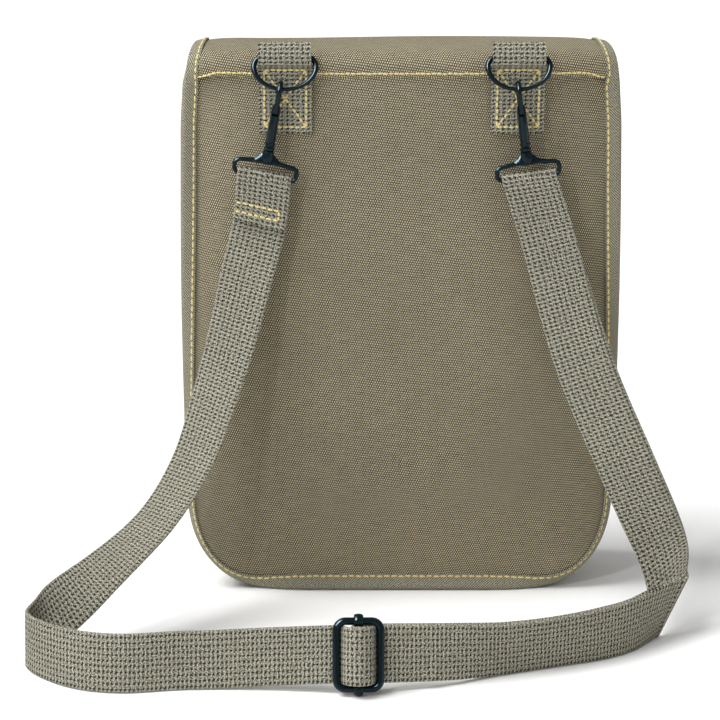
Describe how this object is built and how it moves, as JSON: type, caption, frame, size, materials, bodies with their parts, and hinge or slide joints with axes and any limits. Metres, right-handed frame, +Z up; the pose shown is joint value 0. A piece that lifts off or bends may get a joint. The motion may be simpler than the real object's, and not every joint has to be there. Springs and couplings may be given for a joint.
{
  "type": "map case",
  "caption": "Flat canvas map case standing on its base, with flap, bound seams, folded webbing tabs, D-rings, swivel snap hooks and a webbing shoulder strap with a wire slider.",
  "frame": {"origin": "middle of the case's base, on the surface it stands on", "axes": "+Z up; the back of the case, with tabs and strap, faces -Y; the flap's front faces +Y; +X is right in the picture"},
  "size_m": [0.3217, 0.2321, 0.2863],
  "materials": {
    "canvas": "matt plain-weave cotton canvas",
    "binding_tape": "matt twill tape",
    "webbing": "matt woven cotton webbing",
    "black_paint": "semi-gloss black on steel"
  },
  "bodies": {
    "case": {"back_panel": "canvas", "front_panel": "canvas", "gusset": "canvas", "flap": "canvas", "back_binding": "binding_tape", "front_binding": "binding_tape", "flap_binding": "binding_tape", "left_tab": "webbing", "right_tab": "webbing", "strap": "webbing", "flap_stud": "black_paint", "left_d_ring": "black_paint", "left_eye": "black_paint", "right_d_ring": "black_paint", "right_eye": "black_paint", "slider_frame": "black_paint", "slider_bar": "black_paint"},
    "left_hook_body": {"left_hook": "black_paint"},
    "left_gate_body": {"left_gate": "black_paint"},
    "right_hook_body": {"right_hook": "black_paint"},
    "right_gate_body": {"right_gate": "black_paint"}
  },
  "joints": [
    {"name": "left_swivel", "type": "hinge", "parent": "case", "child": "left_hook_body", "pos_m": [-0.0654, -0.0484, 0.2344], "axis": [0.1822, 0, 0.9833], "range_deg": [-25, 25]},
    {"name": "left_gate", "type": "hinge", "parent": "left_hook_body", "child": "left_gate_body", "pos_m": [-0.06208, -0.0507, 0.25229], "axis": [-0.9833, 0, 0.1822], "range_deg": [0, 14], "stiffness_Nm_per_rad": 0.02, "springref_deg": -5.73},
    {"name": "right_swivel", "type": "hinge", "parent": "case", "child": "right_hook_body", "pos_m": [0.0612, -0.0484, 0.2341], "axis": [-0.1305, 0, 0.9914], "range_deg": [-25, 25]},
    {"name": "right_gate", "type": "hinge", "parent": "right_hook_body", "child": "right_gate_body", "pos_m": [0.05882, -0.0507, 0.25214], "axis": [-0.9914, 0, -0.1305], "range_deg": [0, 14], "stiffness_Nm_per_rad": 0.02, "springref_deg": -5.73}
  ]
}
